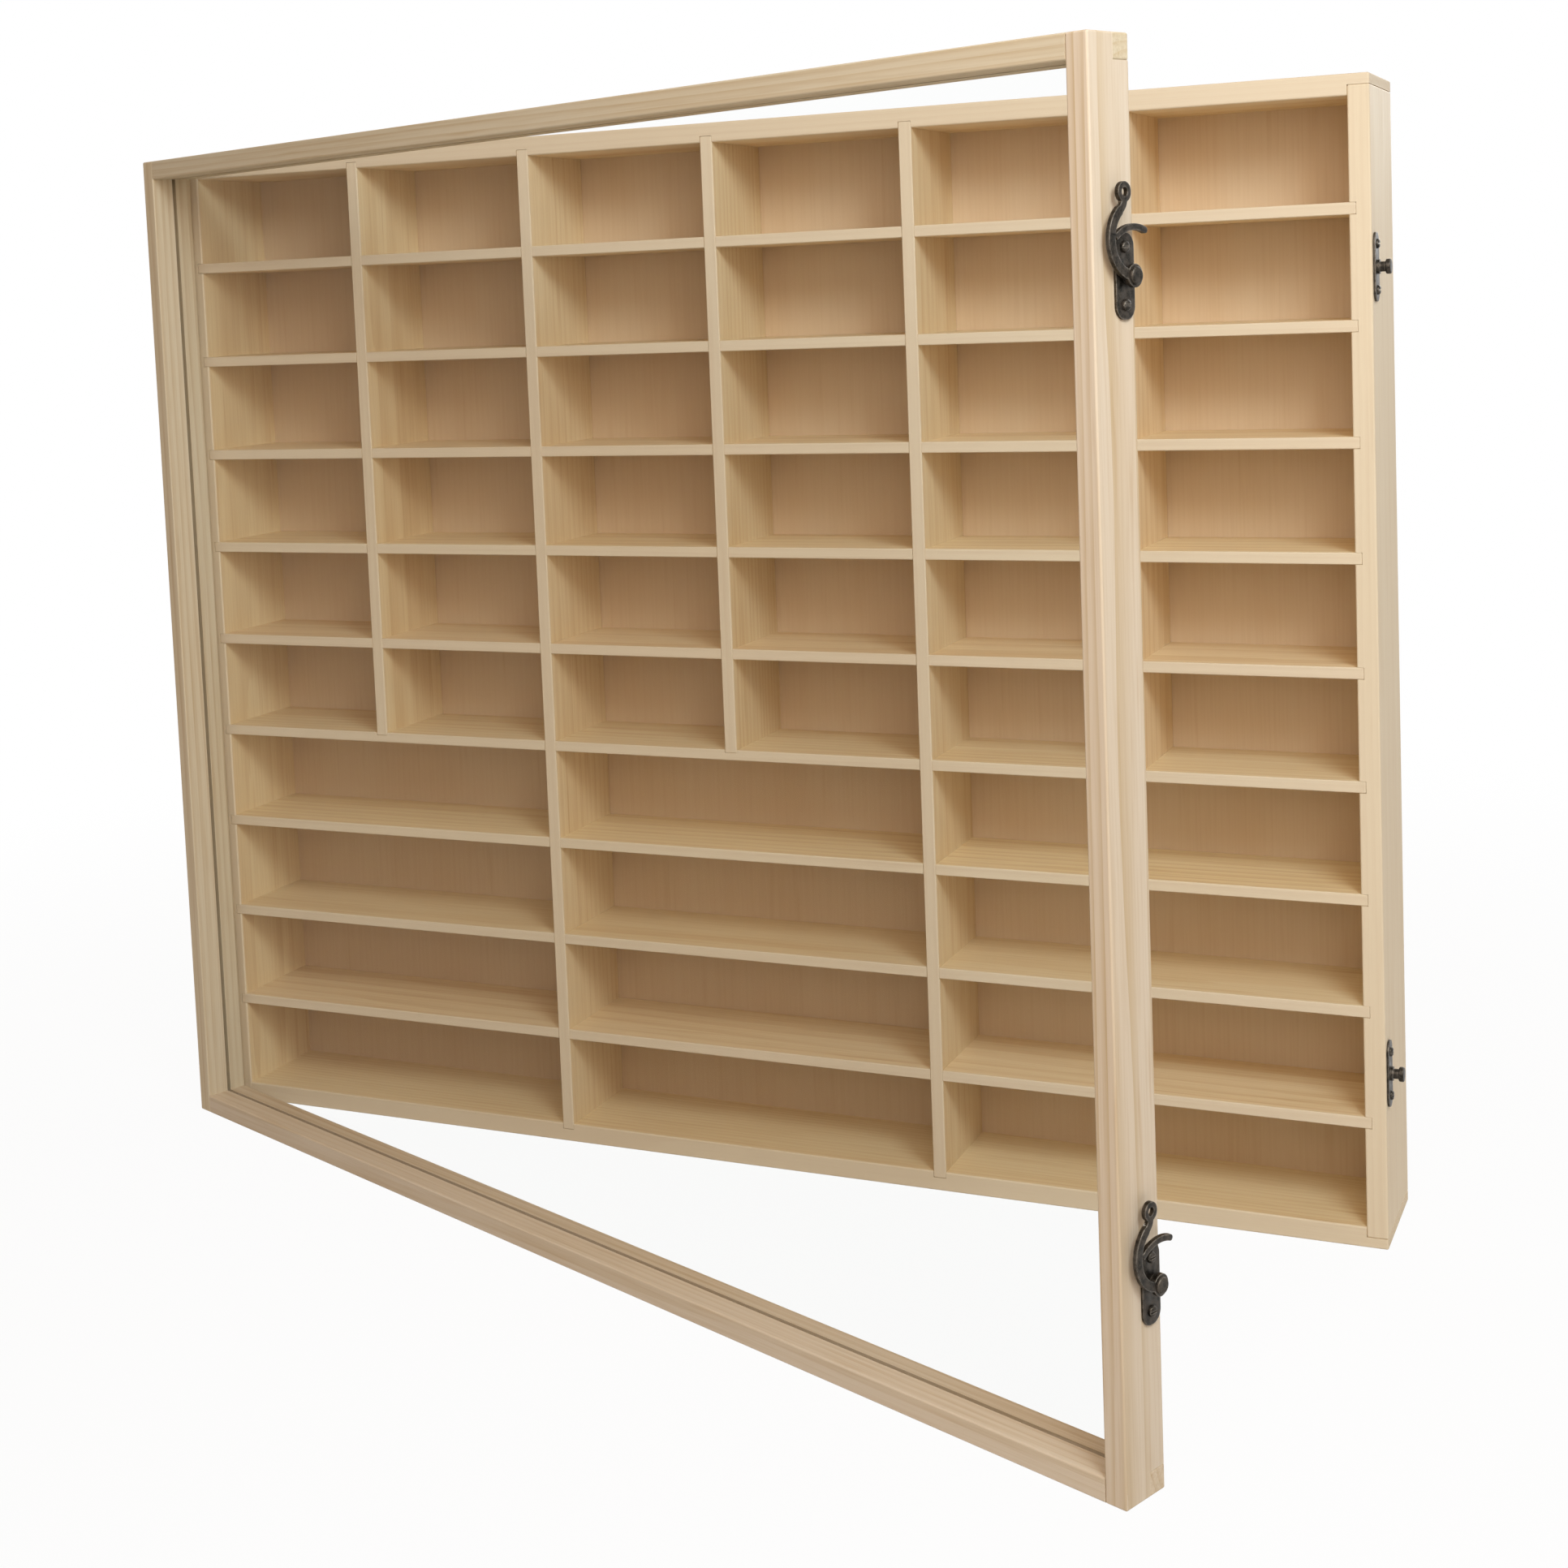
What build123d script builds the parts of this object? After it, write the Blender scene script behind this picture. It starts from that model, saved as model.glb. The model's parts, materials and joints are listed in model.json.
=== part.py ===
from build123d import *
import os
from math import cos, radians, sin

# Toy car display case: a shallow pine case of small compartments behind a framed, hinged, clear door.
# Millimetres. +Z is up, the front faces -Y, and the origin is the centre of the case's underside.
# The door stands ajar, and both hooks are swung up off their keepers, as they are when it is open.

# Case
case_width = 596.0
case_height = 495.0
case_depth = 57.0
board_thickness = 9.0
corner_rebate_depth = 4.5
back_thickness = 3.0
back_lap = 4.5
row_count = 10
small_row_count = 6
column_count = 6
shelf_thickness = 5.0
divider_thickness = 6.0
dado_depth = 3.0
shelf_seat_depth = 1.5
board_ease = 0.8
shelf_ease = 0.5

# Door
door_depth = 22.0
door_board_thickness = 9.0
door_front_lip = 11.0
pane_thickness = 2.0
pane_groove_depth = 4.5
pane_edge_gap = 0.5
door_seam = 0.5
door_rest_angle = 21.6

# Hinges, one near each end of the left side
hinge_inset = 80.0
hinge_leaf_height = 26.0
hinge_leaf_width = 11.0
hinge_leaf_thickness = 1.0
hinge_leaf_corner = 2.0
knuckle_radius = 2.0
knuckle_count = 3
knuckle_gap = 0.3
knuckle_relief = 0.6
knuckle_wood_gap = 0.3
knuckle_web_width = 1.8
hinge_pin_radius = 1.0
hinge_pin_head_radius = 1.7
hinge_pin_head_height = 0.8
hinge_screw_spread = 17.0
hinge_screw_reach = 6.3

# Hook latches on the door's right side, and their keepers on the case's right side
upper_latch_height = 416.0
lower_latch_height = 75.0
latch_plate_width = 10.0
latch_plate_height = 28.5
latch_plate_corner = 4.5
latch_plate_thickness = 1.0
latch_plate_inset = 6.2
latch_screw_spread = 19.0
pivot_offset = 1.5
pivot_radius = 1.5
pivot_collar_radius = 3.0
pivot_collar_height = 1.35
pivot_head_radius = 3.0
pivot_head_height = 1.0
pivot_head_ease = 0.8
rivet_tail_radius = 1.2
hook_thickness = 1.7
hook_standoff = 1.4
hook_eye_radius = 3.9
hook_arm_width = 3.4
hook_belly_reach = 12.0
hook_belly_height = 11.5
hook_neck_left = 7.5
hook_neck_height = 21.0
hook_neck_width = 2.8
hook_loop_left = 4.8
hook_loop_height = 27.2
hook_loop_radius = 3.4
hook_loop_hole = 1.5
prong_width = 2.2
prong_start_angle = -38.0
prong_end_angle = 22.0
keeper_inset = 7.1
knob_collar_radius = 3.0
knob_neck_radius = 2.1
knob_head_radius = 3.1
knob_head_height = 2.2
knob_head_gap = 0.3
knob_ease = 0.6

# Fasteners
screw_radius = 1.0
screw_length = 6.5
screw_tip_length = 1.6
screw_tip_radius = 0.25
screw_head_radius = 2.0
screw_head_height = 1.1
screw_head_ease = 0.9
screw_slot_width = 0.5
screw_slot_depth = 0.5
nail_radius = 0.6
nail_length = 9.0
nail_head_radius = 1.3
nail_head_height = 0.4
nail_sink = 0.1

# Clearances
joinery_gap = 0.1
running_gap = 0.05
pilot_gap = 0.05
pane_side_gap = 0.2
prong_neck_gap = 0.4

# Places that follow from the sizes above
half_width = case_width / 2
front_y = -case_depth / 2
back_y = case_depth / 2
back_panel_y = back_y - back_thickness
inner_half_width = half_width - board_thickness
inner_bottom = board_thickness
inner_top = case_height - board_thickness
shelf_count = row_count - 1
divider_count = column_count - 1
row_clear = (inner_top - inner_bottom - shelf_count * shelf_thickness) / row_count
column_clear = (2 * inner_half_width - divider_count * divider_thickness) / column_count
lap_y = (front_y + back_panel_y) / 2
door_back_y = front_y - door_seam
door_front_y = door_back_y - door_depth
groove_front_y = door_front_y + door_front_lip
groove_width = pane_thickness + 2 * pane_side_gap
groove_back_y = groove_front_y + groove_width
axis_x = -half_width - knuckle_radius - knuckle_wood_gap
axis_y = (front_y + door_back_y) / 2
hinge_heights = (case_height - hinge_inset, hinge_inset)
latch_heights = (upper_latch_height, lower_latch_height)
latch_plate_y = door_back_y - latch_plate_inset
pivot_y = latch_plate_y + pivot_offset
knob_y = front_y + keeper_inset
hook_floor = latch_plate_thickness + hook_standoff
hook_top = hook_floor + hook_thickness
prong_radius = knob_y - pivot_y + knob_neck_radius + prong_neck_gap + prong_width / 2


def block(x0, x1, y0, y1, z0, z1):
    """A plain block between two corners."""
    centre = Pos((x0 + x1) / 2, (y0 + y1) / 2, (z0 + z1) / 2)
    return centre * Box(x1 - x0, y1 - y0, z1 - z0)


def eased(x0, x1, y0, y1, z0, z1, ease):
    """A block with every edge rounded over, as sanded timber is."""
    blank = block(x0, x1, y0, y1, z0, z1)
    return fillet(blank.edges(), ease)


def one_solid(shape):
    """The single solid of a shape, which must hold exactly one."""
    solids = shape.solids()
    assert len(solids) == 1, f"{len(solids)} solids where one was expected"
    return solids[0]


def group(shapes):
    """Separate solids that share one node."""
    return Compound([one_solid(shape) for shape in shapes])


def shelf_bottom(index):
    """Height of the underside of a shelf, counted from 1 at the top."""
    return inner_top - index * (row_clear + shelf_thickness)


def divider_left(index):
    """Left face of a divider, counted from 1 at the left."""
    return -inner_half_width + index * column_clear + (index - 1) * divider_thickness


def is_full_height(index):
    """Every second divider runs down past the small rows to the bottom board."""
    return index % 2 == 0


def row_middle(index):
    """Height of the middle of a row, counted from 1 at the top."""
    return inner_top - (index - 0.5) * row_clear - (index - 1) * shelf_thickness


def column_middle(index):
    """Middle of a column, counted from 1 at the left."""
    return -inner_half_width + (index - 0.5) * column_clear + (index - 1) * divider_thickness


def right_side_place(y, z):
    """A place on the right sides: local X runs back, local Y up and local Z outwards."""
    return Plane(origin=(half_width, y, z), x_dir=(0, 1, 0), z_dir=(1, 0, 0)).location


def left_side_place(y, z):
    """A place on the left sides: local X runs forward, local Y up and local Z outwards."""
    return Plane(origin=(-half_width, y, z), x_dir=(0, -1, 0), z_dir=(-1, 0, 0)).location


def rod(radius, z0, z1):
    """A cylinder on the local Z axis between two heights."""
    return Pos(0, 0, (z0 + z1) / 2) * Cylinder(radius, z1 - z0)


# Fasteners and the holes they stand in

def screw(seat_height):
    """A round-headed screw whose head stands on a surface at the given height."""
    shank = rod(screw_radius, seat_height - screw_length + screw_tip_length, seat_height)
    tip_middle = seat_height - screw_length + screw_tip_length / 2
    tip = Pos(0, 0, tip_middle) * Cone(screw_tip_radius, screw_radius, screw_tip_length)
    head = rod(screw_head_radius, seat_height, seat_height + screw_head_height)
    head = fillet(head.edges().group_by(Axis.Z)[-1], screw_head_ease)
    slot_middle = seat_height + screw_head_height - screw_slot_depth / 2
    slot = Pos(0, 0, slot_middle) * Box(2 * screw_head_radius, screw_slot_width, screw_slot_depth)
    return one_solid(shank + tip + head - slot)


def screw_hole(seat_height):
    """The pilot hole of a screw, from above its head seat down to just past its tip."""
    return rod(screw_radius + pilot_gap, seat_height - screw_length - pilot_gap, seat_height)


def nail(x, z):
    """A back panel nail, its head just below the panel's rear face."""
    head_y = back_y - nail_sink
    shank = Pos(x, head_y - nail_length / 2, z) * Rot(90, 0, 0) * Cylinder(nail_radius, nail_length)
    head_place = Pos(x, head_y - nail_head_height / 2, z) * Rot(90, 0, 0)
    head = head_place * Cylinder(nail_head_radius, nail_head_height)
    return one_solid(shank + head)


def nail_hole(x, z):
    """The hole and head recess of a back panel nail."""
    depth = nail_length + nail_sink + pilot_gap
    bore = Pos(x, back_y - depth / 2, z) * Rot(90, 0, 0) * Cylinder(nail_radius + pilot_gap, depth)
    sink = nail_head_height + nail_sink
    recess_place = Pos(x, back_y - sink / 2, z) * Rot(90, 0, 0)
    return bore + recess_place * Cylinder(nail_head_radius + pilot_gap, sink)


def nail_places():
    """Where the back panel is nailed: into all four boards, clear of shelves and dividers."""
    edge = inner_half_width + back_lap / 2
    low = inner_bottom - back_lap / 2
    high = inner_top + back_lap / 2
    middle_column = column_count // 2
    columns = (1, middle_column, middle_column + 1, column_count)
    middle_row = row_count // 2
    rows = (2, middle_row, row_count - 1)
    across = [(column_middle(column), z) for column in columns for z in (low, high)]
    upright = [(x, row_middle(row)) for row in rows for x in (-edge, edge)]
    return across + upright


def cut_nail_holes(board):
    """A board with every nail hole that reaches it."""
    for x, z in nail_places():
        board -= nail_hole(x, z)
    return board


# The case

def horizontal_board(z0, z1, divider_indexes):
    """The top or bottom board, with the sides, dividers and back let into its inner face."""
    is_top = z0 > case_height / 2
    board = eased(-half_width, half_width, front_y, back_y, z0, z1, board_ease)
    rebate = (z0, z0 + corner_rebate_depth) if is_top else (z1 - corner_rebate_depth, z1)
    back_rebate = (z0, z0 + back_lap) if is_top else (z1 - back_lap, z1)
    groove = (z0, z0 + dado_depth) if is_top else (z1 - dado_depth, z1)
    for side in (-1, 1):
        inner = side * inner_half_width
        outer = side * half_width
        board -= block(min(inner, outer), max(inner, outer), front_y, back_y, *rebate)
    lap_half_width = inner_half_width + back_lap
    board -= block(-lap_half_width, lap_half_width, back_panel_y, back_y, *back_rebate)
    for index in divider_indexes:
        left = divider_left(index) - joinery_gap / 2
        right = left + divider_thickness + joinery_gap
        board -= block(left, right, front_y, back_panel_y, *groove)
    return one_solid(cut_nail_holes(board))


def top_board():
    every_divider = range(1, divider_count + 1)
    return horizontal_board(inner_top, case_height, every_divider)


def bottom_board():
    full_dividers = [index for index in range(1, divider_count + 1) if is_full_height(index)]
    return horizontal_board(0, inner_bottom, full_dividers)


def side_board(side):
    """The left (-1) or right (+1) side, with a through dado for each shelf."""
    inner = side * inner_half_width
    outer = side * half_width
    z0 = inner_bottom - corner_rebate_depth
    z1 = inner_top + corner_rebate_depth
    board = eased(min(inner, outer), max(inner, outer), front_y, back_y, z0, z1, board_ease)
    dado_floor = inner + side * dado_depth
    for index in range(1, shelf_count + 1):
        bottom = shelf_bottom(index) - joinery_gap / 2
        top = bottom + shelf_thickness + joinery_gap
        board -= block(min(inner, dado_floor), max(inner, dado_floor), front_y, back_panel_y, bottom, top)
    rebate_floor = inner + side * back_lap
    board -= block(min(inner, rebate_floor), max(inner, rebate_floor), back_panel_y, back_y, z0, z1)
    board = cut_nail_holes(board)
    for hole in (hinge_case_screw_holes() if side < 0 else keeper_screw_holes()):
        board -= hole
    return one_solid(board)


def back_panel():
    x = inner_half_width + back_lap - joinery_gap
    z0 = inner_bottom - back_lap + joinery_gap
    z1 = inner_top + back_lap - joinery_gap
    panel = block(-x, x, back_panel_y, back_y, z0, z1)
    return one_solid(cut_nail_holes(panel))


def crosses_shelf(divider, shelf):
    """Whether a divider passes through a shelf with a half lap."""
    return is_full_height(divider) or shelf < small_row_count


def shelf(index):
    """A shelf, slotted from the front for the dividers that cross it."""
    half_length = inner_half_width + dado_depth - joinery_gap
    bottom = shelf_bottom(index)
    top = bottom + shelf_thickness
    board = eased(-half_length, half_length, front_y, back_panel_y, bottom, top, shelf_ease)
    for divider in range(1, divider_count + 1):
        left = divider_left(divider) - joinery_gap / 2
        right = left + divider_thickness + joinery_gap
        if crosses_shelf(divider, index):
            board -= block(left, right, front_y, lap_y + joinery_gap, bottom, top)
        elif index == small_row_count:
            board -= block(left, right, front_y, back_panel_y, top - shelf_seat_depth, top)
    return one_solid(board)


def divider(index):
    """An upright divider, slotted from the back for the shelves that it crosses."""
    left = divider_left(index)
    right = left + divider_thickness
    foot = inner_bottom - dado_depth + joinery_gap
    if not is_full_height(index):
        foot = shelf_bottom(small_row_count) + shelf_thickness - shelf_seat_depth
    head = inner_top + dado_depth - joinery_gap
    board = eased(left, right, front_y, back_panel_y, foot, head, shelf_ease)
    for crossed in range(1, shelf_count + 1):
        if crosses_shelf(index, crossed):
            bottom = shelf_bottom(crossed) - joinery_gap / 2
            top = bottom + shelf_thickness + joinery_gap
            board -= block(left, right, lap_y, back_panel_y, bottom, top)
    return one_solid(board)


# The door, built shut

def stile(side):
    """An upright of the door frame; the rails' rear halves pass through its ends."""
    inner = side * (half_width - door_board_thickness)
    outer = side * half_width
    low, high = min(inner, outer), max(inner, outer)
    board = eased(low, high, door_front_y, door_back_y, 0, case_height, board_ease)
    for z0 in (0, case_height - door_board_thickness):
        board -= block(low, high, groove_back_y, door_back_y, z0, z0 + door_board_thickness)
    floor = inner + side * pane_groove_depth
    z0 = door_board_thickness - pane_groove_depth
    z1 = case_height - z0
    board -= block(min(inner, floor), max(inner, floor), groove_front_y, groove_back_y, z0, z1)
    for hole in (hinge_door_screw_holes() if side < 0 else latch_screw_holes()):
        board -= hole
    return one_solid(board)


def rail(z0, z1):
    """A cross piece of the door frame, grooved for the pane on its inner edge."""
    inner = half_width - door_board_thickness
    board = eased(-half_width, half_width, door_front_y, door_back_y, z0, z1, board_ease)
    for x0, x1 in ((-half_width, -inner), (inner, half_width)):
        board -= block(x0, x1, door_front_y, groove_back_y, z0, z1)
    is_top = z0 > case_height / 2
    groove = (z0, z0 + pane_groove_depth) if is_top else (z1 - pane_groove_depth, z1)
    board -= block(-inner, inner, groove_front_y, groove_back_y, *groove)
    return one_solid(board)


def pane():
    x = half_width - door_board_thickness + pane_groove_depth - pane_edge_gap
    z0 = door_board_thickness - pane_groove_depth + pane_edge_gap
    y0 = groove_front_y + pane_side_gap
    return one_solid(block(-x, x, y0, y0 + pane_thickness, z0, case_height - z0))


# Hinges

def knuckle_span(index):
    """Bottom and top of a knuckle, counted from 0 at the bottom, about the hinge's middle."""
    pitch = (hinge_leaf_height + knuckle_gap) / knuckle_count
    bottom = -hinge_leaf_height / 2 + index * pitch
    return bottom, bottom + pitch - knuckle_gap


def hinge_leaf(height, direction, knuckles):
    """A leaf that runs back over the case (+1) or forward over the door (-1) from its knuckles."""
    edge = front_y if direction > 0 else door_back_y
    far = axis_y + direction * hinge_leaf_width
    outer_x = -half_width - hinge_leaf_thickness
    z0 = height - hinge_leaf_height / 2
    plate = block(outer_x, -half_width, min(edge, far), max(edge, far), z0, z0 + hinge_leaf_height)
    corners = plate.edges().filter_by(Axis.X).group_by(Axis.Y)[-1 if direction > 0 else 0]
    leaf = fillet(corners, hinge_leaf_corner)
    relief = axis_y + direction * (knuckle_radius + knuckle_relief)
    web_far = edge + direction * knuckle_web_width
    for index in range(knuckle_count):
        low, high = (height + z for z in knuckle_span(index))
        if index in knuckles:
            barrel = Pos(axis_x, axis_y, 0) * rod(knuckle_radius, low, high)
            web = block(axis_x, -half_width, min(edge, web_far), max(edge, web_far), low, high)
            trim = Pos(axis_x, axis_y, 0) * rod(knuckle_radius + hinge_leaf_thickness, low, high)
            leaf += barrel + (web & trim)
        else:
            leaf -= block(outer_x, -half_width, min(edge, relief), max(edge, relief),
                          low - knuckle_gap, high + knuckle_gap)
    leaf -= Pos(axis_x, axis_y, height) * Cylinder(hinge_pin_radius + running_gap, 2 * hinge_leaf_height)
    for z in hinge_screw_heights(height):
        leaf -= left_side_place(hinge_screw_y(direction), z) * screw_hole(hinge_leaf_thickness)
    return one_solid(leaf)


def hinge_pin(height):
    """The pin through the knuckles, with a small head at each end."""
    half = hinge_leaf_height / 2
    pin = rod(hinge_pin_radius, -half, half)
    for end in (-1, 1):
        head_middle = end * (half + hinge_pin_head_height / 2)
        head = Pos(0, 0, head_middle) * Cylinder(hinge_pin_head_radius, hinge_pin_head_height)
        rim = head.edges().group_by(Axis.Z)[-1 if end > 0 else 0]
        pin += fillet(rim, hinge_pin_head_height / 2)
    return one_solid(Pos(axis_x, axis_y, height) * pin)


def hinge_screw_y(direction):
    return axis_y + direction * hinge_screw_reach


def hinge_screw_heights(height):
    return (height - hinge_screw_spread / 2, height + hinge_screw_spread / 2)


def hinge_screw_places(direction):
    heights = [z for height in hinge_heights for z in hinge_screw_heights(height)]
    return [left_side_place(hinge_screw_y(direction), z) for z in heights]


def hinge_case_screw_holes():
    return [place * screw_hole(hinge_leaf_thickness) for place in hinge_screw_places(1)]


def hinge_door_screw_holes():
    return [place * screw_hole(hinge_leaf_thickness) for place in hinge_screw_places(-1)]


# Latches and keepers, drawn flat: local X runs back, local Y up and local Z outwards

def latch_screw_offsets():
    return (-latch_screw_spread / 2, latch_screw_spread / 2)


def side_screw_places(y):
    heights = [height + offset for height in latch_heights for offset in latch_screw_offsets()]
    return [right_side_place(y, z) for z in heights]


def latch_screw_holes():
    return [place * screw_hole(latch_plate_thickness) for place in side_screw_places(latch_plate_y)]


def keeper_screw_holes():
    return [place * screw_hole(latch_plate_thickness) for place in side_screw_places(knob_y)]


def side_plate(stud_offset):
    """The base plate of a latch or keeper, with two screw holes and a hole for its stud."""
    outline = RectangleRounded(latch_plate_width, latch_plate_height, latch_plate_corner)
    plate = extrude(outline, latch_plate_thickness)
    for offset in latch_screw_offsets():
        plate -= Pos(0, offset, 0) * screw_hole(latch_plate_thickness)
    stud_hole = rod(rivet_tail_radius + running_gap, 0, latch_plate_thickness)
    return one_solid(plate - Pos(stud_offset, 0, 0) * stud_hole)


def pivot_rivet():
    """The hook's pivot: a tail in the plate, a collar under the hook and a domed head over it."""
    collar_top = latch_plate_thickness + pivot_collar_height
    head_seat = hook_top + running_gap
    head = rod(pivot_head_radius, head_seat, head_seat + pivot_head_height)
    head = fillet(head.edges().group_by(Axis.Z)[-1], pivot_head_ease)
    rivet = rod(rivet_tail_radius, 0, latch_plate_thickness)
    rivet += rod(pivot_collar_radius, latch_plate_thickness, collar_top)
    rivet += rod(pivot_radius, collar_top, head_seat)
    return one_solid(rivet + head)


def keeper_knob():
    """The keeper's stud: a tail in the plate, a collar, the neck that takes the prong and a head."""
    collar_top = hook_floor - knob_head_gap
    head_seat = hook_top + knob_head_gap
    head = rod(knob_head_radius, head_seat, head_seat + knob_head_height)
    head = fillet(head.edges(), knob_ease)
    knob = rod(rivet_tail_radius, 0, latch_plate_thickness)
    knob += rod(knob_collar_radius, latch_plate_thickness, collar_top)
    knob += rod(knob_neck_radius, latch_plate_thickness, head_seat + knob_head_height / 2)
    return one_solid(knob + head)


def around_pivot(radius, angle):
    """A point at a distance from the pivot, its angle measured from straight up, towards the case."""
    return (radius * sin(radians(angle)), radius * cos(radians(angle)))


def hook():
    """The swan-shaped hook: eye, belly, neck and finger loop, with the prong that takes the knob."""
    neck_foot = (-hook_neck_left, hook_neck_height)
    belly = ThreePointArc((0, 0), (-hook_belly_reach, hook_belly_height), neck_foot)
    loop_foot = (-hook_loop_left, hook_loop_height - hook_loop_radius / 2)
    neck = Spline(neck_foot, loop_foot, tangents=(belly % 1, (0, 1)))
    angles = (prong_start_angle, (prong_start_angle + prong_end_angle) / 2, prong_end_angle)
    prong = ThreePointArc(*(around_pivot(prong_radius, angle) for angle in angles))
    outline = trace(belly, hook_arm_width)
    outline += trace(neck, hook_neck_width)
    outline += trace(prong, prong_width)
    outline += Circle(hook_eye_radius)
    outline += Pos(*neck_foot) * Circle(hook_arm_width / 2)
    outline += Pos(*around_pivot(prong_radius, prong_end_angle)) * Circle(prong_width / 2)
    outline += Pos(-hook_loop_left, hook_loop_height) * Circle(hook_loop_radius)
    outline -= Pos(-hook_loop_left, hook_loop_height) * Circle(hook_loop_hole)
    outline -= Circle(pivot_radius + running_gap)
    return one_solid(Pos(0, 0, hook_floor) * extrude(outline, hook_thickness))


def swing_open(shape):
    """Turn a piece of the shut door about the hinge axis to its rest angle."""
    return shape.rotate(Axis((axis_x, axis_y, 0), (0, 0, 1)), -door_rest_angle)


def screws_at(places, seat_height):
    return group([place * screw(seat_height) for place in places])


def build_parts():
    """Every piece by its node's name."""
    parts = {
        "top_board": top_board(),
        "bottom_board": bottom_board(),
        "left_side": side_board(-1),
        "right_side": side_board(1),
        "back_panel": back_panel(),
        "back_panel_nails": group([nail(x, z) for x, z in nail_places()]),
    }
    for index in range(1, shelf_count + 1):
        parts[f"shelf_{index}"] = shelf(index)
    for index in range(1, divider_count + 1):
        parts[f"divider_{index}"] = divider(index)

    top_rail_z = case_height - door_board_thickness
    door = {
        "door_hinge_stile": stile(-1),
        "door_latch_stile": stile(1),
        "door_top_rail": rail(top_rail_z, case_height),
        "door_bottom_rail": rail(0, door_board_thickness),
        "door_pane": pane(),
        "hinge_door_screws": screws_at(hinge_screw_places(-1), hinge_leaf_thickness),
        "latch_screws": screws_at(side_screw_places(latch_plate_y), latch_plate_thickness),
    }
    parts["hinge_case_screws"] = screws_at(hinge_screw_places(1), hinge_leaf_thickness)
    parts["keeper_screws"] = screws_at(side_screw_places(knob_y), latch_plate_thickness)

    for name, height in zip(("upper", "lower"), hinge_heights):
        parts[f"{name}_hinge_case_leaf"] = hinge_leaf(height, 1, (0, knuckle_count - 1))
        parts[f"{name}_hinge_pin"] = hinge_pin(height)
        door[f"{name}_hinge_door_leaf"] = hinge_leaf(height, -1, range(1, knuckle_count - 1))
    for name, height in zip(("upper", "lower"), latch_heights):
        keeper_place = right_side_place(knob_y, height)
        parts[f"{name}_keeper_plate"] = keeper_place * side_plate(0)
        parts[f"{name}_keeper_knob"] = keeper_place * keeper_knob()
        plate_place = right_side_place(latch_plate_y, height)
        pivot_place = right_side_place(pivot_y, height)
        door[f"{name}_latch_plate"] = plate_place * side_plate(pivot_offset)
        door[f"{name}_latch_pivot"] = pivot_place * pivot_rivet()
        door[f"{name}_hook"] = pivot_place * hook()

    for name, shape in door.items():
        parts[name] = swing_open(shape)
    return parts


os.makedirs("parts", exist_ok=True)
for node, piece in build_parts().items():
    export_step(piece, f"parts/{node}.step")

print(f"row clear {row_clear:.2f}, column clear {column_clear:.2f}")
print(f"hinge axis {axis_x:.3f}, {axis_y:.3f}; shut pivot y {pivot_y:.3f}; knob y {knob_y:.3f}")
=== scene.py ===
"""Looks of a toy car display case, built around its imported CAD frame.

The boards, pane, screws, nails, rivets, knobs and pins are the CAD pieces with procedural finishes. The
hooks, base plates and hinge leaves are copies with softened edges that stand for their CAD pieces.
"""

import json
import logging
import math
import random
from abc import ABC, abstractmethod
from collections.abc import Iterable, Mapping
from dataclasses import dataclass, field
from enum import Enum
from typing import Any

import bmesh
import bpy
from mathutils import Matrix, Vector

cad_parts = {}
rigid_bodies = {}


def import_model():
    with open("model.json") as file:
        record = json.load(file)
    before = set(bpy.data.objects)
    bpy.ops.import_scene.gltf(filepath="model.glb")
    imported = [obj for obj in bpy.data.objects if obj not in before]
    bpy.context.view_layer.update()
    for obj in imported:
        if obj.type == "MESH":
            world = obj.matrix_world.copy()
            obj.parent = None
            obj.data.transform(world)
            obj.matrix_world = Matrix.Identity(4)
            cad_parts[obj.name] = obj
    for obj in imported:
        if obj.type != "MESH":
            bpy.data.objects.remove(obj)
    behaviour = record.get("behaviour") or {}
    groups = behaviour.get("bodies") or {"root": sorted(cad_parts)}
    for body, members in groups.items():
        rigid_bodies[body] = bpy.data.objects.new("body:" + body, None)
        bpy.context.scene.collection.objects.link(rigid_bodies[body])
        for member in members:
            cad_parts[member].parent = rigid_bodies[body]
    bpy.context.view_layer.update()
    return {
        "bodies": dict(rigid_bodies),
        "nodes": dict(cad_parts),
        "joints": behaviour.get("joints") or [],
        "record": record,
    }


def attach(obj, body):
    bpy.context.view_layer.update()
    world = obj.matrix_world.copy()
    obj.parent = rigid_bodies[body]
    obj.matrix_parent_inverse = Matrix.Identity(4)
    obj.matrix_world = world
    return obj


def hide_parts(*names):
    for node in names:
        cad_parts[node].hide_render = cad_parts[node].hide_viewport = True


LOG = logging.getLogger("display_case")
Colour = tuple[float, float, float, float]
Place = tuple[float, float, float]

COLOUR, VECTOR, FLOAT = "NodeSocketColor", "NodeSocketVector", "NodeSocketFloat"
WHITE: Colour = (1.0, 1.0, 1.0, 1.0)
NOISE_MIDDLE: Place = (0.5, 0.5, 0.5)
BUMP_STRENGTH = 0.5

# The door stands this far ajar in the frame.
DOOR_TURN = math.radians(21.6)

# The case's outer faces, in metres: the front from its Y, the sides from their |X| and the top from its Z.
FRONT_PLANE = -0.0284
SIDE_PLANE = 0.2979
TOP_PLANE = 0.4949
# How far into each board the painted light on those outer faces fades, in metres.
PAINTED_LIGHT_DEPTH = 0.0012

# How each board's figure differs from the next one's.
PITH_REACH = (0.05, 0.11)
GRAIN_SHIFT = 3.0
RING_VARIETY = (0.75, 1.2)

# How a copy of a CAD piece is merged, cleaned and shaded.
MERGE_DISTANCE = 1e-6
FLAT_ANGLE = math.radians(0.5)
SHARP_ANGLE = math.radians(50)
SHADED_ANGLE = math.radians(32)


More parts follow.
